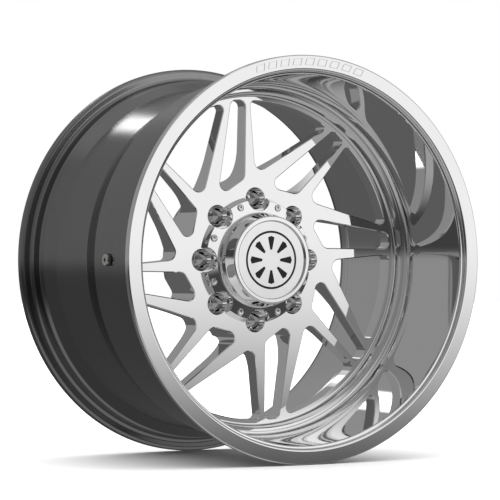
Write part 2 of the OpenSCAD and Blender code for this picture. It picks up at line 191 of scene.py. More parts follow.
class Shell:
    # Patches of one closed skin. Each patch brings its own corner normals and its finish value,
    # and the patches are joined where their points meet.
    def __init__(self):
        self.points, self.faces, self.count = [], {3: [], 4: []}, 0

    def add(self, points, faces, normals, finish):
        sides = faces.shape[1]
        self.faces[sides].append((faces + self.count, normals, np.full(len(faces), float(finish))))
        if len(points):
            self.points.append(points)
            self.count += len(points)

    # Rows of outlines stacked from one end of a profile to the other, with the solid on the
    # profile's left. outlines is (rows, columns, 2) and heights (rows, columns).
    def stack(self, outlines, heights, closedRows=False, finish=0.0, finishes=None):
        rows, cols = outlines.shape[:2]
        spread = np.linalg.norm(outlines - outlines.mean(1, keepdims=True), axis=-1).sum(1)
        base = outlines[int(np.argmax(spread))]
        colIn, colOut = lineNormals(base, True)
        middle = unit(colIn + colOut)
        offset = ((outlines - base[None]) * middle[None]).sum(-1)
        rowIn, rowOut = lineNormals(np.stack([offset.T, heights.T], -1), closedRows)
        nRow = rows if closedRows else rows - 1
        i, j = np.meshgrid(np.arange(nRow), np.arange(cols), indexing="ij")
        i2, j2 = (i + 1) % rows, (j + 1) % cols

        def corner(row, ii, col, jj):
            a = row[jj, ii]
            return np.concatenate([a[..., :1] * col[jj], a[..., 1:]], -1)

        quads = np.stack([i * cols + j, i * cols + j2, i2 * cols + j2, i2 * cols + j], -1)
        normals = np.stack([corner(rowOut, i, colOut, j), corner(rowOut, i, colIn, j2),
                            corner(rowIn, i2, colIn, j2), corner(rowIn, i2, colOut, j)], -2)
        grid = np.concatenate([outlines, heights[..., None]], -1)
        tiny = spread < 1e-6
        start = self.count
        self.points.append(grid.reshape(-1, 3))
        self.count += rows * cols
        value = np.full(rows, float(finish)) if finishes is None else finishes
        for r in range(nRow):
            q, n = quads[r] + start, normals[r]
            if tiny[r]:
                q, n = q[:, [0, 2, 3]], n[:, [0, 2, 3]]
            elif tiny[(r + 1) % rows]:
                q, n = q[:, [0, 1, 2]], n[:, [0, 1, 2]]
            self.faces[q.shape[1]].append((q, n, np.full(len(q), float(value[r]))))

    # A profile of (offset, height) carried round a closed path, offset measured square to the path
    def sweep(self, path, profile, **more):
        profile = np.asarray(profile, float)
        outlines = path[None] + mitre(path)[None] * profile[:, 0][:, None, None]
        self.stack(outlines, np.repeat(profile[:, 1:], len(path), 1), **more)

    # A profile of (radius, height) turned round an axis at centre
    def lathe(self, profile, steps, centre=(0, 0), **more):
        profile = np.asarray(profile, float)
        ring = circle(1, steps)
        outlines = np.asarray(centre, float) + ring[None] * profile[:, 0][:, None, None]
        self.stack(outlines, np.repeat(profile[:, 1:], steps, 1), **more)

    # Rows of radii and heights at even angles, each (rows, columns)
    def rings(self, radii, heights, **more):
        self.stack(circle(1, radii.shape[1])[None] * radii[..., None], heights, **more)

    # Triangles between closed outlines, laid on surface(points) -> heights, normals. keep tells
    # which triangles belong from their middles, and extra points follow a curved surface.
    def fill(self, loops, keep, surface, up=1, extra=None, finish=0.0):
        points = np.concatenate(loops + ([extra] if extra is not None else []))
        starts = np.cumsum([0] + [len(q) for q in loops])
        around = [np.stack([np.arange(len(q)), np.roll(np.arange(len(q)), -1)], -1) for q in loops]
        edges = np.concatenate([e + s for e, s in zip(around, starts)])
        vectors = [Vector(p) for p in points.tolist()]
        found = geometry.delaunay_2d_cdt(vectors, edges.tolist(), [], 0, 1e-5, True)
        source = np.array([ids[0] for ids in found[3]])
        tris = source[np.array(found[2])]
        tris = tris[keep(points[tris].mean(1))]
        a, b, c = points[tris[:, 0]], points[tris[:, 1]], points[tris[:, 2]]
        area = (b - a)[:, 0] * (c - a)[:, 1] - (b - a)[:, 1] * (c - a)[:, 0]
        real = np.abs(area) > 1e-9
        tris, area = tris[real], area[real]
        flip = (area < 0) != (up < 0)
        tris[flip] = tris[flip][:, ::-1]
        heights, normals = surface(points)
        solid = np.concatenate([points, heights[:, None]], -1)
        self.add(solid, tris, normals[tris] * up, finish)

    # place turns (x, y, height) in millimetres into millimetres in the row frame
    def build(self, name, body, material, replaced, place=standUp):
        points = place(np.concatenate(self.points)) / 1000
        lists = self.faces[3] + self.faces[4]
        loops = np.concatenate([q.ravel() for q, n, f in lists])
        arrows = np.concatenate([n.reshape(-1, 3) for q, n, f in lists])
        normals = unit(place(arrows) - place(np.zeros((1, 3))))
        totals = np.concatenate([np.full(len(q), q.shape[1]) for q, n, f in lists])
        finish = np.repeat(np.concatenate([f for q, n, f in lists]), totals)
        cells = np.round(points * 2e6).astype(np.int64)  # points in one half micron are joined
        kept, spot = np.unique(cells, axis=0, return_index=True, return_inverse=True)[1:]
        used, loops = np.unique(spot.ravel()[loops], return_inverse=True)
        mesh = bpy.data.meshes.new(name)
        mesh.vertices.add(len(used))
        mesh.vertices.foreach_set("co", points[kept][used].astype(np.float32).ravel())
        mesh.loops.add(len(loops))
        mesh.loops.foreach_set("vertex_index", loops.ravel().astype(np.int32))
        mesh.polygons.add(len(totals))
        mesh.polygons.foreach_set("loop_start", (np.cumsum(totals) - totals).astype(np.int32))
        mesh.update(calc_edges=True)
        finishLayer = mesh.attributes.new("finish", "FLOAT", "CORNER")
        finishLayer.data.foreach_set("value", finish.astype(np.float32))
        mesh.polygons.foreach_set("use_smooth", np.ones(len(totals), bool))
        mesh.normals_split_custom_set(normals.tolist())
        mesh.update()
        piece = addObject(name, mesh)
        piece.data.materials.append(material)
        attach(piece, body)
        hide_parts(*replaced)
        print(f"{name}: {len(totals)} faces")
        return piece


# Which points lie inside a closed outline, by counting the sides that a ray to the right crosses
def insideOf(points, outline):
    a, b = outline[None], np.roll(outline, -1, 0)[None]
    p = points[:, None]
    spans = (a[..., 1] > p[..., 1]) != (b[..., 1] > p[..., 1])
    rise = np.where(a[..., 1] == b[..., 1], 1.0, b[..., 1] - a[..., 1])
    x = a[..., 0] + (p[..., 1] - a[..., 1]) * (b[..., 0] - a[..., 0]) / rise
    return (spans & (p[..., 0] < x)).sum(1) % 2 == 1


def insideAny(points, outlines):
    return np.any([insideOf(points, outline) for outline in outlines], axis=0)


# A flat surface for fill
def level(height):
    up = np.array([0.0, 0.0, 1.0])
    return lambda p: (np.full(len(p), float(height)), np.broadcast_to(up, (len(p), 3)))


class Signal:
    # A node's output, so that shader maths reads as plain expressions
    def __init__(self, maker, socket):
        self.maker, self.socket = maker, socket

    def calc(self, operation, a, b=None):
        sockets = {0: a} if b is None else {0: a, 1: b}
        return self.maker.out("ShaderNodeMath", {"operation": operation}, sockets)

    def __add__(self, other): return self.calc("ADD", self, other)
    def __radd__(self, other): return self.calc("ADD", other, self)
    def __sub__(self, other): return self.calc("SUBTRACT", self, other)
    def __rsub__(self, other): return self.calc("SUBTRACT", other, self)
    def __mul__(self, other): return self.calc("MULTIPLY", self, other)
    def __rmul__(self, other): return self.calc("MULTIPLY", other, self)
    def __truediv__(self, other): return self.calc("DIVIDE", self, other)
    def __rtruediv__(self, other): return self.calc("DIVIDE", other, self)
    def root(self): return self.calc("SQRT", self)
    def size(self): return self.calc("ABSOLUTE", self)
    def most(self, other): return self.calc("MAXIMUM", self, other)


class Maker:
    # Adds nodes to one material or world tree
    def __init__(self, tree):
        self.tree = tree
        tree.nodes.clear()

    def node(self, kind, settings=None, sockets=None):
        made = self.tree.nodes.new(kind)
        for key, value in (settings or {}).items():
            setattr(made, key, value)
        for key, value in (sockets or {}).items():
            if isinstance(value, Signal):
                self.tree.links.new(value.socket, made.inputs[key])
            else:
                made.inputs[key].default_value = value
        return made

    def out(self, kind, settings=None, sockets=None, output=0):
        return Signal(self, self.node(kind, settings, sockets).outputs[output])

    def coords(self):
        return self.out("ShaderNodeTexCoord", output="Object")

    def parts(self, vector):
        split = self.node("ShaderNodeSeparateXYZ", sockets={0: vector})
        return [Signal(self, split.outputs[k]) for k in range(3)]

    # 0 at low and 1 at high, smoothly
    def ramp(self, value, low, high):
        return self.out("ShaderNodeMapRange", {"interpolation_type": "SMOOTHSTEP"},
                        {0: value, 1: low, 2: high, 3: 0.0, 4: 1.0})

    def noise(self, scale, vector=None, detail=3.0):
        return self.out("ShaderNodeTexNoise", None, {
            "Vector": vector or self.coords(), "Scale": scale, "Detail": detail, "Roughness": 0.55})

    # Noise that is fine along the axis and drawn out across it
    def axialLines(self, perMetre, detail):
        stretched = self.out("ShaderNodeMapping", None, {
            "Vector": self.coords(), "Scale": (6.0, perMetre, 6.0)})
        return self.noise(1.0, stretched, detail)

    # Noise that changes only with the distance from the axis and along it, as lathe lines do
    def turningLines(self, perMetre, detail):
        x, y, z = self.parts(self.coords())
        radius = (x * x + z * z).root()
        place = self.out("ShaderNodeCombineXYZ", None, {0: radius * perMetre, 1: y * perMetre, 2: 0.0})
        return self.noise(1.0, place, detail)

    def mix(self, factor, a, b):
        made = self.node("ShaderNodeMix", {"data_type": "RGBA"}, {0: factor, 6: a, 7: b})
        return Signal(self, made.outputs[2])

    def bump(self, height, strength, distance):
        return self.out("ShaderNodeBump", None, {
            "Height": height, "Strength": strength, "Distance": distance})


def startMaterial(name):
    material = bpy.data.materials.new(name)
    material.use_nodes = True
    return material, Maker(material.node_tree)


def finishMaterial(maker, sockets):
    shader = maker.out("ShaderNodeBsdfPrincipled", None, sockets)
    maker.node("ShaderNodeOutputMaterial", None, {0: shader})


# A grey as a colour, with a little more red and less blue where it is warm
def grey(v, warm=0.0):
    return (v + warm, v, v - warm, 1.0)


metalLook = {
    "alloy": 0.90,  # brightness of polished alloy
    "polish": 0.022,  # its least roughness
    "smudge": 0.030,  # roughness added where it was handled
    "milled": 0.80,  # brightness of milled window walls
    "wallRoughness": 0.085,
    "tyreSide": 0.29,  # brightness of the unpolished tyre side
    "tyreRoughness": 0.10,
    "lines": 2600.0,  # turning lines to a metre
    "lineDepth": 0.00006,
}


# Polished alloy. finish 0 is mirror, 0.5 is a finely milled wall or the inside of the barrel and
# 1 is the satin tyre side with its turning lines.
def makeAlloy(name):
    look = metalLook
    material, m = startMaterial(name)
    finish = m.out("ShaderNodeAttribute", {"attribute_name": "finish"}, output="Fac")
    milled = m.ramp(finish, 0.2, 0.45)
    satin = m.ramp(finish, 0.6, 0.9)
    haze = m.ramp(m.noise(14.0, detail=5.0), 0.42, 0.72)
    fine = m.noise(420.0, detail=2.0)
    ringLines = m.axialLines(look["lines"], 3.0)
    turning = m.turningLines(look["lines"], 3.0)
    edgeDirt = m.ramp(m.noise(60.0, detail=6.0), 0.5, 0.8)
    roughness = look["polish"] + haze * look["smudge"] + fine * 0.008
    roughness = roughness + milled * (look["wallRoughness"] + ringLines * 0.04)
    tyre = look["tyreRoughness"] - look["wallRoughness"] + turning * 0.04 + haze * 0.012
    roughness = roughness + satin * tyre
    bright = m.mix(haze * 0.35, grey(look["alloy"]), grey(look["alloy"] * 0.965, 0.002))
    milledTone = m.mix(milled, bright, grey(look["milled"]))
    dull = m.mix(edgeDirt * 0.5, grey(look["tyreSide"]), grey(look["tyreSide"] * 0.86))
    colour = m.mix(satin, milledTone, dull)
    lines = ringLines * milled * 0.25 + turning * satin
    finishMaterial(m, {"Base Color": colour, "Metallic": 1.0, "Roughness": roughness,
                       "Normal": m.bump(lines, 0.10, look["lineDepth"])})
    return material


milledFinish = 0.42
alloy = makeAlloy("forgedAlloy")
print("alloy ready")

rimShape = {
    "steps": 320,  # columns round the rim
    "beadD": 512.8, "rimW": 304.8,  # bead seat diameter, width between the flanges
    "flangeH": 17.5, "flangeT": 13.1,  # height over the bead seat, thickness
    "lipW": 17.0, "lipEdge": 0.9,  # flat band round the front, and the edge outside it
    "dishR": 248.3,  # mouth of the dish
    "seatR": 236.0,  # where the centre is let in
    "faceH": 21.2, "spokeT": 21.7,  # spoke face in front of mid width, thickness of the spokes
    "seatRise": 15.3, "seatStep": 6.5,  # top of the seat over the face, and the ledge behind it
    "barCount": 9, "barPitch": 4.2,  # engraved outlines, and the degrees between them
    "barLength": 13.0, "barHeight": 9.5, "barGroove": 0.9, "barDepth": 0.6,
}
beadR = rimShape["beadD"] / 2
beadFace = rimShape["rimW"] / 2
halfW = beadFace + rimShape["flangeT"]
flangeR = beadR + rimShape["flangeH"]
lipIn = flangeR - rimShape["lipEdge"] - rimShape["lipW"]
seatR, faceH = rimShape["seatR"], rimShape["faceH"]
backH = faceH - rimShape["spokeT"]
frontH = faceH + rimShape["seatRise"]
innerWall = seatR - rimShape["seatStep"]


# Tyre side of a flange from its edge to past the hump; side is 1 at the face and -1 at the back
def flangeEdge(side):
    f = beadFace
    half = np.concatenate([
        arc((flangeR - 6, f + 6), 6, 6, 0, -90, 12),
        arc((beadR + 6.5, f - 6.5), 6.5, 6.5, 90, 180, 12),
        softened([[beadR, f - 8], [beadR - 0.9, f - 16.6], [beadR - 0.2, f - 18.4],
                  [beadR - 0.1, f - 20], [beadR - 0.5, f - 21.6], [beadR - 2.2, f - 23.5]], 3, 4, 5)[1:],
    ])
    return half * [1, side]


# The rim's section runs over the tyre side, the rear curl, the inside and the dish, each a line of
# (radius, height) with rounded corners, and is turned round the axis
def buildBarrel():
    s = rimShape
    well = softened([[beadR - 2.2, beadFace - 23.5], [252, 119], [249.6, faceH + 1.5],
                     [249, faceH - 1], [236.8, -24], [235.6, -27], [235.4, -31], [242.6, -105.5],
                     [243.4, -108], [252.6, -127.6], [beadR - 2.2, 23.5 - beadFace]], 5, 3, 6)[1:-1]
    curl = np.concatenate([arc((flangeR - 3, 3 - halfW), 3, 3, 0, -90, 8),
                           arc((flangeR - 8, 17 - halfW), 15.5, 17, -90, -180, 20)])
    back = softened([[flangeR - 23.5, 17 - halfW], [248.2, -136], [246.4, -129.5], [237.2, -108.5],
                     [innerWall + 0.4, -31], [innerWall, -27], [innerWall, backH], [seatR, backH],
                     [seatR, frontH - 0.8], [seatR + 0.8, frontH]], 4, 8, 6)[1:-1]
    dish = np.concatenate([
        arc((seatR + 0.8, frontH + 20), 8.4, 20, -90, 0, 24),
        softened([[245.2, frontH + 20], [s["dishR"], halfW - 9], [s["dishR"] + 0.6, halfW - 7.8],
                  [s["dishR"] + 1.8, halfW - 7], [lipIn - 3.5, halfW - 6.6],
                  [lipIn - 3.5, halfW - 3.5]], 0.8, 6, 5)[1:-1],
        arc((lipIn, halfW - 3.5), 3.5, 3.5, 180, 90, 10),
    ])
    edge = softened([[flangeR - 3, halfW], [flangeR - 1.4, halfW], [flangeR, halfW - 1.4],
                     [flangeR, halfW - 3]], 0.5, 6, 4)[1:-1]
    front = flangeEdge(1)
    rear = flangeEdge(-1)[::-1]
    outside = np.concatenate([edge, front, well, rear])
    line = np.concatenate([outside, curl, back, dish])
    mirror = len(edge) + 3
    finishes = np.concatenate([
        np.zeros(mirror), np.ones(len(outside) - mirror), np.full(len(curl), 0.9),
        np.full(len(back), milledFinish), np.zeros(len(dish))])
    line, finishes = line[::-1], finishes[::-1]
    finishes = (finishes[:-1] + finishes[1:]) / 2
    shell = Shell()
    shell.lathe(line, s["steps"], finishes=finishes)

    # the flat lip, with a row of plain slanted outlines cut into it
    bars, floorH = [], halfW - s["barDepth"]
    for i in range(s["barCount"]):
        angle = (i - (s["barCount"] - 1) / 2) * s["barPitch"]
        for shrink in (0, s["barGroove"]):
            length, height = s["barLength"] - 2 * shrink, s["barHeight"] - 2 * shrink
            slant = height / 3
            bar = np.array([[-length - slant, -height], [length - slant, -height],
                            [length + slant, height], [-length + slant, height]]) / 2
            bars.append(turn(bar + [0, lipIn + s["lipW"] / 2], angle))
    outer, inner = bars[0::2], bars[1::2]
    rings = [circle(line[0, 0], s["steps"]), circle(line[-1, 0], s["steps"])]
    onLip = lambda p: between(p, line[0, 0] + 0.01, line[-1, 0])
    inGroove = lambda p: insideAny(p, outer) & ~insideAny(p, inner)
    shell.fill(rings + bars, lambda p: onLip(p) & ~inGroove(p), level(halfW))
    shell.fill(bars, inGroove, level(floorH), finish=milledFinish)
    for bar in outer:
        shell.sweep(bar, [[0, halfW], [0, floorH]], finish=milledFinish)
    for bar in inner:
        shell.sweep(bar, [[0, floorH], [0, halfW]], finish=milledFinish)
    shell.build("rimBarrel", "wheel", alloy, ["rim_barrel"])


buildBarrel()

centreShape = {
    "sectors": 8,  # times the windows repeat round the wheel
    "windowR": 220.0, "bevel": 1.2,  # outer ends of the windows, and the chamfer round them
    "padR": 110.0, "offsetH": -44.0,  # hub pad on the back, and its height
    "curveW": 48, "curveH": 42,  # quarter ellipse between the pad and the web
    "boreR": 62.5, "boreLen": 40.0, "capBoreR": 59.0,
    "lugCircle": 85.0, "lugR": 8.0, "pocketR": 15.0,
    "screwCircle": 77.5, "tapR": 2.52, "tapDepth": 12,
}
webEnd, faceEnd = seatR - 12, seatR - 10.5
centreR, centreBack = seatR - 0.05, backH + 0.05  # a little clear of the barrel


# A copy of points for each sector, turned on by shift sectors
def aroundWheel(points, shift=0.0):
    n = centreShape["sectors"]
    return [turn(points, 360 / n * (k + shift)) for k in range(n)]


def atRadius(r, shift=0.0):
    return aroundWheel(np.array([0, r]), shift)


screwSpots = atRadius(centreShape["screwCircle"], 0.5)


# Two lines from the tip outwards and a rim of constant radius, their corners rounded
def wideWindow():
    r = centreShape["windowR"]
    a1, a2 = np.array([[-7.1, 212.4], [-0.7, 137.5]])
    b1, b2 = np.array([[16.8, 127.8], [108.2, 179.7]])
    tip = crossing(a1, a2, b1, b2)
    a, b = arc((0, 0), r, r, 92.03, 57.5, 1)
    rim = arc((0, 0), r, r, 89.03, 60.5, 14)
    return np.concatenate([roundCorner(a, tip, b, 11, 14), roundCorner(tip, b, rim[-1], 7, 10),
                           rim[-2:0:-1], roundCorner(rim[0], a, tip, 7, 10)])


# Four lines, a and b along the spokes and c and d across them, their corners rounded
def slotWindow():
    r = centreShape["windowR"]
    a1, a2 = np.array([[-39.2, 211.8], [-55.3, 107.7]])
    b1, b2 = np.array([[-15.5, 211.8], [-16.8, 120.5]])
    c1, c2 = np.array([[-44.7, 95.0], [-19.2, 111.4]])
    d1, d2 = np.array([[-60, r - 2.2], [0, r + 1.8]])
    p, q = crossing(a1, a2, d1, d2), crossing(b1, b2, d1, d2)
    s, t = crossing(b1, b2, c1, c2), crossing(a1, a2, c1, c2)
    return np.concatenate([roundCorner(t, p, q, 9, 12), roundCorner(p, q, s, 9, 12),
                           roundCorner(q, s, t, 11, 12), roundCorner(s, t, p, 9.3, 12)])


# The line or its reverse, whichever encloses a positive area
def counterClockwise(line):
    after = np.roll(line, -1, 0)
    return line if (line[:, 0] * after[:, 1] - line[:, 1] * after[:, 0]).sum() > 0 else line[::-1]


# Back of the centre at radius r: a flat pad, then a quarter ellipse, then a nearly flat web
def backSurface(points):
    c = centreShape
    pad, off, wide, deep = c["padR"], c["offsetH"], c["curveW"], c["curveH"]
    r = radiusOf(points)
    t = np.clip((pad + wide - r) / wide, 0, 1)
    curve = off + deep * np.sqrt(1 - t ** 2)
    top = off + deep
    web = top + (r - pad - wide) / (webEnd - pad - wide) * (centreBack - top)
    height = np.where(r < pad, off, np.where(r < pad + wide, curve, web))
    steep = deep / wide * t / np.sqrt(np.maximum(1 - t ** 2, 2e-3))
    slope = np.where(r < pad, 0, np.where(r < pad + wide, steep, 0.02))
    radial = points / np.maximum(r, 1e-9)[:, None]
    return height, unit(np.concatenate([-radial * slope[:, None], np.ones((len(points), 1))], -1))


# Flat face and curved back, filled between the outlines of their openings, with the walls of the
# windows, pockets and holes stacked from one to the other
def buildCentre():
    c, b = centreShape, centreShape["bevel"]
    steps, lugSteps, tapSteps = 360, 64, 24
    shell = Shell()
    pair = [refined(counterClockwise(w), 2.0) for w in (wideWindow(), slotWindow())]
    windows = [w for one in pair for w in aroundWheel(one)]
    lugs = atRadius(c["lugCircle"])

    # front face
    inner = c["capBoreR"] + 0.8
    openings = [grown(w, b) for w in windows]
    openings += [circle(c["pocketR"] + 0.5, lugSteps, p) for p in lugs]
    openings += [circle(c["tapR"], tapSteps, p) for p in screwSpots]
    onFace = lambda p: between(p, inner, faceEnd) & ~insideAny(p, openings)
    shell.fill([circle(inner, steps), circle(faceEnd, steps)] + openings, onFace, level(faceH))

    # rim of the centre, where it is let into the barrel
    rim = np.concatenate([
        softened([[seatR - 14, centreBack], [centreR, centreBack], [centreR, frontH - 0.8],
                  [seatR - 0.8, frontH], [seatR - 4, frontH],
                  [seatR - 4, frontH - 1]], 0.3, 14, 3)[1:-1],
        arc((faceEnd, frontH), 6.5, frontH - faceH, 0, -90, 20),
    ])
    shell.lathe(np.concatenate([[[webEnd, centreBack]], rim]), steps)

    # hub bore
    off, boreEdge = c["offsetH"], c["boreR"] + 1.5
    shell.lathe([[inner, faceH], [c["capBoreR"], faceH - 0.8], [c["capBoreR"], off + c["boreLen"]],
                 [c["boreR"], off + c["boreLen"]], [c["boreR"], off + 1.5], [boreEdge, off]],
                steps, finish=milledFinish)

    # back, with extra points so that its curve is followed
    curve = c["padR"] + c["curveW"] * (1 - np.cos(np.radians(np.linspace(7, 90, 12))))
    rings = [80, 95, c["padR"] - 0.1] + list(curve) + [172, 188, 204, 216]
    extra = np.concatenate([circle(r, 180) for r in rings])
    bevelled = [grown(w, 0.6) for w in windows]
    guard = insideAny(extra, [grown(w, 1.6) for w in windows])
    for p in lugs:
        guard |= radiusOf(extra - p) < c["lugR"] + 2
    holes = bevelled + [circle(c["lugR"] + 0.5, lugSteps, p) for p in lugs]
    onBack = lambda p: between(p, boreEdge, webEnd) & ~insideAny(p, holes)
    shell.fill([circle(boreEdge, steps), circle(webEnd, steps)] + holes, onBack, backSurface,
               up=-1, extra=extra[~guard], finish=0.5)

    # window walls
    front = [[b, faceH], [b - 0.10, faceH - 0.05], [0.05, faceH - b + 0.10], [0, faceH - b]]
    for w, wide in zip(windows, bevelled):
        deep = backSurface(wide)[0]
        low = np.maximum(backSurface(w)[0], deep)
        outlines = np.stack([grown(w, o) for o, h in front] + [w, grown(w, 0.2), wide])
        heights = np.stack([np.full(len(w), h) for o, h in front] + [low + 0.6, low + 0.2, deep])
        shell.stack(outlines, heights, finishes=[0] * len(front) + [0.5, 0.5, 0.5])
    pocket = np.concatenate([
        arc((c["pocketR"] + 0.5, faceH - 0.5), 0.5, 0.5, 90, 180, 3),
        [[c["pocketR"], off + 20.6], [c["pocketR"] - 0.6, off + 20], [c["lugR"] + 3.81, off + 20],
         [c["lugR"], off + 13.4], [c["lugR"], off + 0.5], [c["lugR"] + 0.5, off]]])
    for p in lugs:
        shell.lathe(pocket, lugSteps, p, finish=0.1)
    tapEnd = faceH - c["tapDepth"]
    for p in screwSpots:
        shell.lathe([[c["tapR"], faceH], [c["tapR"], tapEnd], [0, tapEnd]], tapSteps, p, finish=0.5)
    shell.build("wheelCentre", "wheel", alloy, ["wheel_centre"])


buildCentre()

capShape = {
    "footR": 87.5, "topR": 83.0, "ringT": 12.7,  # cap ring at its foot and its face
    "scallopR": 17.5, "slope": 0.158,  # bites round the lugs, fall of the face outwards
    "neckR": 63.2, "neckH": 15.6, "fillet": 3.6, "spigotR": 58.95,
    "counterbore": 5.05, "boreBevel": 0.15, "boreDepth": 2.9,
    "capR": 60.0, "capH": 46.4, "sideR": 64.0, "recessR": 53.2,
    "screwR": 2.5, "screwGap": 0.25, "screwLen": 20.0, "headR": 4.55, "headH": 2.75, "socketR": 1.75,
}
ringTop = faceH + capShape["ringT"]
neckTop = ringTop + capShape["neckH"]
capTop = faceH + capShape["capH"]
screwSeat = ringTop - capShape["boreDepth"]


# Edge of the cap ring: arcs of radius r joined by scallops of radius s about the lug holes
def scallopLine(r, s):
    d, half = centreShape["lugCircle"], 180 / centreShape["sectors"]
    y = (r * r + d * d - s * s) / (2 * d)
    x = math.sqrt(max(r * r - y * y, 0))
    edge = math.degrees(math.atan2(y, x))
    dip = math.degrees(math.atan2(y - d, x))
    rim = arc((0, 0), r, r, 90 - half, edge, 10)
    bite = arc((0, d), s, s, dip, -180 - dip, 30)
    piece = np.concatenate([rim[:-1], bite, (rim * [-1, 1])[::-1][1:]])
    return np.concatenate(aroundWheel(piece[:-1]))


# Face of the cap ring: flat as far as the foot of the neck, then a shallow cone
def ringFace(points):
    slope = capShape["slope"]
    r = radiusOf(points)
    fall = np.maximum(r - capShape["neckR"] - capShape["fillet"], 0) * slope
    radial = points / np.maximum(r, 1e-9)[..., None]
    return ringTop - fall, unit(np.concatenate([radial * slope, np.ones(r.shape + (1,))], -1))


# The scalloped edge is stacked from foot to face, each row (radius, more scallop, drop below the
# face). The neck and spigot are one section turned round the axis.
def buildCapRing():
    c, steps, holeSteps = capShape, 240, 48
    topR, neckR, spigotR, fillet = c["topR"], c["neckR"], c["spigotR"], c["fillet"]
    shell = Shell()
    edge = [(topR + 0.38, 0, 0.9), (topR + 0.26, 0.03, 0.55), (topR + 0.06, 0.13, 0.22),
            (topR - 0.2, 0.35, 0)]
    outlines = np.stack([scallopLine(c["footR"], c["scallopR"])]
                        + [scallopLine(r, c["scallopR"] + more) for r, more, drop in edge])
    heights = [np.full(outlines.shape[1], faceH)]
    heights += [ringFace(line)[0] - drop for line, (r, more, drop) in zip(outlines[1:], edge)]
    shell.stack(outlines, np.stack(heights))
    foot, rim = outlines[0], outlines[-1]

    def within(p, line, r, holes):
        return insideOf(p, line) & (radiusOf(p) > r + 0.01) & ~insideAny(p, holes)

    seats = [circle(c["counterbore"] + c["boreBevel"], holeSteps, p) for p in screwSpots]
    shell.fill([rim, circle(neckR + fillet, steps)] + seats,
               lambda p: within(p, rim, neckR + fillet, seats), ringFace)
    shell.lathe(np.concatenate([
        arc((neckR + fillet, ringTop + fillet), fillet, fillet, 270, 180, 20),
        softened([[neckR, ringTop + 8], [neckR, neckTop], [57.2, neckTop], [57.2, ringTop],
                  [54, ringTop], [54, faceH - 14], [58.2, faceH - 14], [spigotR, faceH - 13],
                  [spigotR, faceH - 9.2], [57.3, faceH - 9.2], [57.3, faceH - 6.2],
                  [spigotR, faceH - 6.2], [spigotR, faceH]], 0.3, 14, 3)[1:]]), steps)
    holeR = c["screwR"] + c["screwGap"]
    holes = [circle(holeR, holeSteps, p) for p in screwSpots]
    shell.fill([foot, circle(spigotR, steps)] + holes,
               lambda p: within(p, foot, spigotR, holes), level(faceH), up=-1)
    for p, wide in zip(screwSpots, seats):
        bore = circle(c["counterbore"], holeSteps, p)
        shell.stack(np.stack([wide, bore, bore]), np.stack([
            ringFace(wide)[0], ringFace(bore)[0] - c["boreBevel"], np.full(holeSteps, screwSeat)]))
        shell.lathe([[c["counterbore"], screwSeat], [holeR, screwSeat], [holeR, faceH]],
                    holeSteps, p, finish=0.3)
    shell.build("capRing", "wheel", chrome, ["cap_ring"])


# One section turned round the axis: the hollow, the plug with its groove, the sloping side, the
# rounded rim and the recess
def buildCapCup():
    top, sideR, capR, recessR = capTop, capShape["sideR"], capShape["capR"], capShape["recessR"]
    shell = Shell()
    shell.lathe(np.concatenate([
        softened([[0, top - 8.5], [47, top - 8.5], [50, top - 11.5], [50, neckTop - 9],
                  [57, neckTop - 9], [57, neckTop - 6], [55.4, neckTop - 6], [55.4, neckTop - 3.4],
                  [57, neckTop - 3.4], [57, neckTop], [sideR - 0.1, neckTop],
                  [sideR, neckTop + 0.5], [sideR - 0.2, neckTop + 1.6]], 0.25, 14, 3),
        [[capR + 0.62, top - 3.2]],
        arc((capR - 2.0, top - 2.4), 2.4, 2.4, 12, 90, 14),
        softened([[capR - 2.6, top], [54.4, top], [recessR + 0.5, top - 0.3], [recessR, top - 0.8],
                  [recessR, top - 5], [0, top - 5]], 0.35, 14, 4),
    ]), 300)
    shell.build("capCup", "wheel", chrome, ["cap_cup"])


emblemShape = {"ringOut": 40.0, "ringIn": 37.0, "wedges": 8, "proud": 0.1, "inlay": 0.8, "gap": 0.04}


# A five-sided wedge with rounded corners, repeated round the plate
def emblemLines():
    wedge = np.array([[-1.6, 14], [1.6, 14], [5.2, 31], [0, 33], [-5.2, 31]], float)
    sides, n = len(wedge), emblemShape["wedges"]
    soft = np.concatenate([roundCorner(wedge[k - 1], wedge[k], wedge[(k + 1) % sides], 0.5, 4)
                           for k in range(sides)])
    return [turn(soft, 360 * k / n) for k in range(n)]


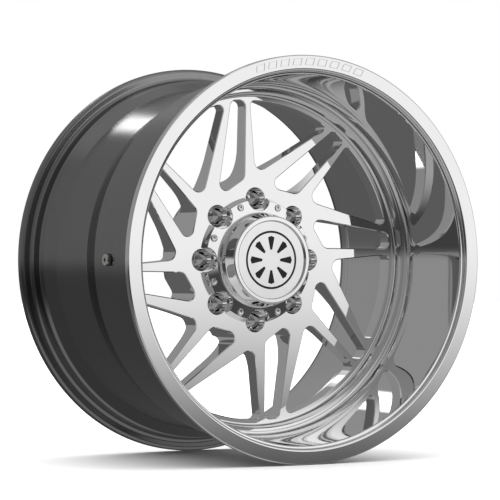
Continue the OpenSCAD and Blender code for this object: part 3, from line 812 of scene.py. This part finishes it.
# A disc whose face is filled round the marks, the marks' floors one inlay lower, and the inlay in
# them with its edges rounded over
def buildFacePlate():
    e, steps, ringSteps = emblemShape, 240, 180
    top, low = capTop - 3, capTop - 5
    bed = top - e["inlay"]
    wedges = emblemLines()
    rings = [circle(e["ringOut"], ringSteps), circle(e["ringIn"], ringSteps)]
    marked = lambda p: between(p, e["ringIn"] + 0.002, e["ringOut"]) | insideAny(p, wedges)
    plate = Shell()
    edge = capShape["recessR"] - 0.05
    faceR = edge - 0.45
    plate.lathe([[0, low], [edge, low], [edge, top - 0.4], [edge - 0.15, top - 0.12], [faceR, top]], steps)
    plate.fill([circle(faceR, steps)] + rings + wedges, lambda p: (radiusOf(p) < edge) & ~marked(p),
               level(top))
    plate.fill(rings + wedges, marked, level(bed))
    for line in wedges + [rings[0]]:
        plate.sweep(line, [[0, top], [0, bed]])
    plate.sweep(rings[1], [[0, bed], [0, top]])
    plate.build("capFacePlate", "wheel", spun, ["cap_face_plate"])

    emblem = Shell()
    high, gap = top + e["proud"], e["gap"]
    for line in wedges:
        emblem.sweep(line, [[-gap, bed], [-gap, high - 0.12], [-gap - 0.05, high - 0.04],
                            [-gap - 0.16, high]])
        emblem.fill([grown(line, -gap - 0.16)], lambda p: insideOf(p, line), level(high))
        emblem.fill([grown(line, -gap)], lambda p: insideOf(p, line), level(bed), up=-1)
    o, i = e["ringOut"] - gap, e["ringIn"] + gap
    emblem.lathe([[i, bed], [o, bed], [o, high - 0.12], [o - 0.12, high], [i + 0.12, high], [i, high - 0.12]],
                 ringSteps, closedRows=True)
    emblem.build("capEmblem", "wheel", enamel, ["cap_emblem"])


# Button screws: rows of circles up the dome, then rows of hexagons down the socket
def buildCapScrews():
    c, cols = capShape, 48
    screwR, end, headR, headH, socketR = c["screwR"], -c["screwLen"], c["headR"], c["headH"], c["socketR"]
    shell = Shell()
    hexagon = hexagonAt(angles(cols))
    dome = arc((headR - 1.3, headH - 1.3), 1.3, 1.3, 0, 90, 12)
    rows = [(0, end, 0), (screwR - 0.6, end, 0), (screwR, end + 0.6, 0), (screwR, 0, 0), (headR - 0.3, 0, 0)]
    rows += [(r, h, 0) for r, h in dome]
    rows += [(socketR + 0.14, headH - 0.06, 1), (socketR, headH - 0.2, 1), (socketR, headH - 1.6, 1),
             (0, headH - 1.9, 1)]
    reach = np.stack([r * (hexagon if six else np.ones(cols)) for r, h, six in rows])[..., None]
    heights = np.stack([np.full(cols, screwSeat + h) for r, h, six in rows])
    for k, p in enumerate(screwSpots):
        shell.stack(p + turn(circle(1, cols), 17.0 * k) * reach, heights)  # each stops at its own angle
    shell.build("capScrews", "wheel", screwSteel, ["cap_screws"])


weldShape = {"steps": 1440, "ripples": 288, "leg": 4.75, "swell": 0.25, "wander": 0.15}


# A bead like a row of overlapped coins: a quarter round whose leg swells and drops along each ripple
def buildWeld():
    w = weldShape
    a = angles(w["steps"])
    phase = (a * w["ripples"] / (2 * np.pi)) % 1
    coin = np.sqrt(np.clip(1 - (2 * phase - 1) ** 2, 0, 1))
    leg = w["leg"] + w["swell"] * coin - w["wander"] * (np.sin(a * 5) + 1) / 2
    reach = np.concatenate([[0 * leg], np.repeat(leg[None], 9, 0)])
    slant = np.radians(np.concatenate([[180], np.linspace(180, 270, 9)]))[:, None]
    shell = Shell()
    shell.rings(innerWall - 0.05 + reach * np.cos(slant), backH + reach * np.sin(slant), closedRows=True)
    shell.build("weldBead", "wheel", weldMetal, ["weld_bead"])


valveShape = {
    "seatX": 245.7, "height": 65.5,  # how far out the washer sits, and how far forward
    "stemLen": 36.0, "wall": 4.8, "stemR": 3.85, "boreR": 2.6,
    "shankR": 4.15, "shankEnd": 9,  # thicker part of the stem, under the nut
    "pitch": 0.794, "threadDepth": 0.32,
    "capR": 5.2, "capInside": 3.95, "capDepth": 11.4, "grips": 24, "gripDepth": 0.42,
    "nutR": 7.0,
}


# Local height runs from the flat under the washer towards the wheel's axis, which is +X here
def onValve(p):
    v = valveShape
    return np.stack([p[..., 2] - v["seatX"], p[..., 1] - v["height"], -p[..., 0]], -1)


# A threaded stem: radius falls and rises once a pitch along a helix, and fades out at both ends
def buildStem():
    v, cols = valveShape, 64
    stemR, boreR, shankR, step = v["stemR"], v["boreR"], v["shankR"], v["shankEnd"]
    low, high = -v["wall"] - 3, v["stemLen"]
    head = np.array([[boreR, low - 2.8], [7.4, low - 2.8], [7.9, low - 2.3], [8, low - 2], [8, low],
                     [shankR, low], [shankR, -0.2]])
    tail = np.array([[stemR - 0.5, high - 0.1], [stemR - 0.65, high], [boreR, high], [boreR, 15],
                     [2, 13.5], [2, 1], [boreR, 0]])
    z = np.linspace(0, high - 0.7, 300)
    a = angles(cols)
    wave = np.abs((z[:, None] / v["pitch"] - a[None] / (2 * np.pi)) % 1 - 0.5) * 2
    body = np.where(z < step, shankR, np.where(z > step + 1, stemR, shankR - 0.3 * (z - step)))[:, None]
    cut = np.minimum(1, np.minimum(z / 1.2, (high - 0.7 - z) / 0.8))[:, None].clip(0, 1)
    thread = body - v["threadDepth"] * cut * (1 - np.minimum(1, wave * 1.25))
    radii = np.concatenate([np.repeat(head[:, :1], cols, 1), thread, np.repeat(tail[:, :1], cols, 1)])
    heights = np.repeat(np.concatenate([head[:, 1:], z[:, None], tail[:, 1:]]), cols, 1)
    shell = Shell()
    shell.rings(radii, heights, closedRows=True)
    shell.build("valveStem", "wheel", nickel, ["valve_stem"], onValve)


# A hexagon whose corners are cut back to a circle that narrows at the top
def buildValveNut():
    cols, washer = 96, 1.2
    flat = valveShape["nutR"] * hexagonAt(angles(cols))
    rows = np.array([[4.3, 0], [6.6, 0], [6.95, 0.3], [7.1, 0.8], [7.1, 4.4], [6.9, 4.75], [6.5, 5.15],
                     [6.0, 5.5], [4.7, 5.5], [4.25, 5.1], [4.25, 0.3]])
    shell = Shell()
    shell.rings(np.minimum(flat, rows[:, :1]), np.repeat(washer + rows[:, 1:], cols, 1), closedRows=True)
    shell.build("valveNut", "wheel", nickel, ["valve_nut"], onValve)


# The cap: a grip of shallow flutes, whose depth follows the fourth power of a cosine round the cap,
# and a rounded crown. Each row is (radius, height, depth of the flutes).
def buildValveCap():
    v, cols = valveShape, 240
    mouth, wall, depth = v["stemLen"] - 10, v["capR"], v["gripDepth"]
    mouthEdge = [v["capInside"], 0.35, 0]
    flute = np.cos(angles(cols) * v["grips"] / 2) ** 4
    outside = [mouthEdge, [4.2, 0, 0], [4.9, 0, 0], [5.15, 0.2, 0], [wall, 0.5, 0], [wall, 1.3, 0],
               [wall, 1.7, 0.25], [wall, 2.1, depth], [wall, 10.6, depth], [wall, 11.1, 0.25],
               [wall, 11.5, 0], [wall, 12.4, 0], [5.12, 12.9, 0], [4.85, 13.3, 0], [4.4, 13.5, 0],
               [3.6, 13.6, 0], [0, 13.6, 0]]
    inside = [[0, v["capDepth"], 0], [v["capInside"], v["capDepth"], 0], mouthEdge]
    shell = Shell()
    for part in (np.array(outside), np.array(inside)):
        shell.rings(part[:, :1] - part[:, 2:] * flute, np.repeat(mouth + part[:, 1:2], cols, 1))
    shell.build("valveCap", "cap_turn", capAlloy, ["valve_cap"], onValve)


springShape = {
    "low": 20.5, "high": 34.1, "coilR": 0.98, "wireR": 0.13, "turns": 8, "rowsPerTurn": 36, "sides": 10,
    "footX": -0.2254, "pressed": 0.928,  # metres along X where it stands, and its length pressed in
}


# A coil spring: a small circle carried along a helix, its ends closed from a middle point
def buildSpring():
    s, cols = springShape, springShape["sides"]
    rows = s["turns"] * s["rowsPerTurn"] + 1
    t, b = np.linspace(0, 1, rows)[:, None], angles(cols)[None]
    a = t * s["turns"] * 2 * np.pi
    rise = s["low"] + (s["high"] - s["low"]) * t
    middle = np.stack([s["coilR"] * np.cos(a), s["coilR"] * np.sin(a), rise], -1)
    out = np.stack([np.cos(b) * np.cos(a), np.cos(b) * np.sin(a), np.sin(b) + 0 * a], -1)
    skin = middle + s["wireR"] * out
    quads = gridQuads(rows, cols)
    shell = Shell()
    shell.add(skin.reshape(-1, 3), quads, out.reshape(-1, 3)[quads], 0)
    k = np.arange(cols)
    for row, order in ((0, 1), (rows - 1, -1)):
        tris = np.stack([np.full(cols, cols), k, (k + 1) % cols], -1)[:, ::order]
        along = -order * unit(np.array([-math.sin(a[row, 0]), math.cos(a[row, 0]), 0.0]))
        shell.add(np.concatenate([skin[row], middle[row]]), tris, np.broadcast_to(along, (cols, 3, 3)), 0)
    piece = shell.build("coreSpring", "wheel", springSteel, ["valve_core_spring"], onValve)
    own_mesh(piece)


# Bright plated or polished metal with faint fingerprints in its roughness
def makeBright(name, tone, warm, roughness, lines=0.0):
    material, m = startMaterial(name)
    haze = m.ramp(m.noise(40.0, detail=5.0), 0.40, 0.75)
    fine = m.noise(900.0, detail=2.0)
    rings = m.turningLines(3200.0, 2.0)
    rough = roughness + haze * roughness * 0.8 + fine * 0.01 + rings * lines * 0.25
    colour = m.mix(haze * 0.4, grey(tone, warm), grey(tone * 0.95, warm * 1.2))
    finishMaterial(m, {"Base Color": colour, "Metallic": 1.0, "Roughness": rough,
                       "Normal": m.bump(rings * lines + fine * 0.02, 0.12, 0.00005)})
    return material


# Dull rubber with a fine grain and a pale bloom
def makeRubber(name):
    material, m = startMaterial(name)
    grain = m.noise(1800.0, detail=4.0)
    bloom = m.ramp(m.noise(120.0), 0.5, 0.8)
    finishMaterial(m, {"Base Color": m.mix(bloom * 0.5, grey(0.020), grey(0.045)),
                       "Roughness": 0.55 + grain * 0.25, "Normal": m.bump(grain, 0.3, 0.00003)})
    return material


# Dark enamel, a little uneven, with fine flecks
def makeEnamel(name):
    material, m = startMaterial(name)
    fleck = m.ramp(m.noise(2600.0, detail=1.0), 0.62, 0.72)
    wave = m.noise(90.0)
    finishMaterial(m, {"Base Color": m.mix(fleck * 0.3, grey(0.010), grey(0.022)),
                       "Roughness": 0.20 + wave * 0.08, "Specular IOR Level": 0.25,
                       "Normal": m.bump(wave, 0.05, 0.0002)})
    return material


# Bare weld metal, browned by soot where it was hottest
def makeWeld(name):
    material, m = startMaterial(name)
    soot = m.ramp(m.noise(220.0, detail=5.0), 0.45, 0.75)
    grain = m.noise(1400.0, detail=4.0)
    finishMaterial(m, {"Base Color": m.mix(soot * 0.6, grey(0.62), grey(0.38, 0.01)), "Metallic": 1.0,
                       "Roughness": 0.28 + soot * 0.2 + grain * 0.08,
                       "Normal": m.bump(grain, 0.25, 0.00008)})
    return material


chrome = makeBright("capChrome", 0.92, 0.0, 0.022)
spun = makeBright("spunPlate", 0.88, 0.0, 0.035, lines=0.35)
enamel = makeEnamel("darkEnamel")
screwSteel = makeBright("screwSteel", 0.72, 0.004, 0.07)
nickel = makeBright("nickel", 0.68, 0.018, 0.09)
brass = makeBright("brass", 0.62, 0.18, 0.12)
capAlloy = makeBright("anodised", 0.60, 0.0, 0.20)
springSteel = makeBright("springSteel", 0.55, 0.0, 0.16)
rubber = makeRubber("sealRubber")
weldMetal = makeWeld("weldMetal")
print("materials ready")

buildCapRing()
buildCapCup()
buildFacePlate()
buildCapScrews()
buildWeld()
buildStem()
buildValveNut()
buildValveCap()
buildSpring()

# pieces that only need a finish
plainPieces = {
    "cap_ring_seal": rubber, "cap_cup_seal": rubber, "valve_grommet": rubber, "valve_core_seal": rubber,
    "valve_pin_seal": rubber, "valve_cap_seal": rubber, "valve_washer": nickel, "valve_core_body": brass,
    "valve_core_pin": brass,
}
for name, material in plainPieces.items():
    nodes[name].data.materials.clear()
    nodes[name].data.materials.append(material)
print("cap and valve ready")


studio = {
    "keyLow": -0.09, "keyHigh": 0.012,  # where the upper light fades out, as the sine of elevation
    "upper": 0.28, "top": 0.42,  # all round, and overhead
    "front": 0.95, "sideX": 0.505, "sideY": 0.863,  # bright field in front, and its direction
    "below": 0.055, "belowBack": 0.11, "belowDeep": 0.40,  # grey under the horizon
    "backBox": 3.8, "boxX": 0.06, "boxZ": 0.61,  # soft box high behind
    "lampPower": 4.8, "lampSpread": 135.0,
    "floor": 0.88, "floorR": 14.0,
    "lens": 192.6, "standAt": (-1.872, -3.208, -0.003), "tilt": 90.26, "heading": -30.32,
}


# The light that the metal mirrors, as a brightness for each direction (x, y, z)
def buildWorld():
    s = studio
    world = bpy.data.worlds.new("studio")
    bpy.context.scene.world = world
    world.use_nodes = True
    m = Maker(world.node_tree)
    x, y, z = m.parts(m.out("ShaderNodeTexCoord", output="Generated"))
    flat = ((x * x + y * y).root()).most(0.0001)
    ax, ay = x / flat, y / flat
    rise = m.ramp(z, s["keyLow"], s["keyHigh"])
    front = m.ramp(ax * s["sideX"] - ay * s["sideY"], 0.86, 0.97)
    frontLeft = m.ramp(ax * -s["sideX"] - ay * s["sideY"], 0.75, 0.98)
    top = m.ramp(z, 0.55, 0.85)
    upper = s["upper"] + front * (s["front"] - s["upper"]) * (1.0 - m.ramp(z, 0.30, 0.55) * 0.4)
    upper = upper - frontLeft * 0.05 * (1.0 - top)
    upper = upper.most(top * s["top"])
    box = m.ramp((x - s["boxX"]).size(), 0.10, 0.04) * m.ramp((z - s["boxZ"]).size(), 0.10, 0.04)
    upper = upper + box * m.ramp(y, 0.3, 0.5) * s["backBox"]
    below = s["below"] + m.ramp(ay, -0.2, 0.4) * (s["belowBack"] - s["below"])
    below = below + m.ramp(z, -0.25, -0.5) * m.ramp(ay, 0.2, -0.2) * (s["belowDeep"] - s["below"])
    light = below + rise * (upper - below)
    seen = m.out("ShaderNodeLightPath", output="Is Camera Ray")
    shade = m.out("ShaderNodeBackground", None, {0: grey(1.0), 1: light.most(seen)})
    m.node("ShaderNodeOutputWorld", None, {0: shade})


# A broad soft light from above for the floor and its shadow, kept out of the metal's reflections
def addLamp():
    s = studio
    lamp = bpy.data.lights.new("overhead", "SUN")
    lamp.energy, lamp.angle = s["lampPower"], math.radians(s["lampSpread"])
    above = addObject("overhead", lamp)
    above.rotation_euler = (math.radians(-12), math.radians(6), 0)
    above.visible_glossy = False


# A flat disc whose rings widen as squares, as high as the lowest point of the wheel
def addFloor():
    s, rings, steps, low = studio, 12, 96, float(cadBox[0][2])
    r = np.linspace(0, 1, rings)[:, None] ** 2 * s["floorR"]
    t = angles(steps)[None]
    grid = np.stack([r * np.cos(t), r * np.sin(t), np.full((rings, steps), low)], -1).reshape(-1, 3)
    mesh = bpy.data.meshes.new("floor")
    mesh.from_pydata(grid.tolist(), [], gridQuads(rings, steps).tolist())
    floor = addObject("floor", mesh)
    material, f = startMaterial("paleFloor")
    mottle = f.noise(3.0, detail=2.0)
    pale = f.mix(mottle, grey(s["floor"]), grey(s["floor"] * 0.99))
    finishMaterial(f, {"Base Color": pale, "Roughness": 0.9})
    floor.data.materials.append(material)
    floor.visible_glossy = False


def addCamera():
    s = studio
    lens = bpy.data.cameras.new("camera")
    lens.lens, lens.sensor_width, lens.clip_end = s["lens"], 36, 60
    camera = addObject("camera", lens)
    camera.location = s["standAt"]
    camera.rotation_euler = (math.radians(s["tilt"]), 0, math.radians(s["heading"]))
    bpy.context.scene.camera = camera
    bpy.context.scene.view_settings.view_transform = "Standard"


buildWorld()
addLamp()
addFloor()
addCamera()
print("studio ready")
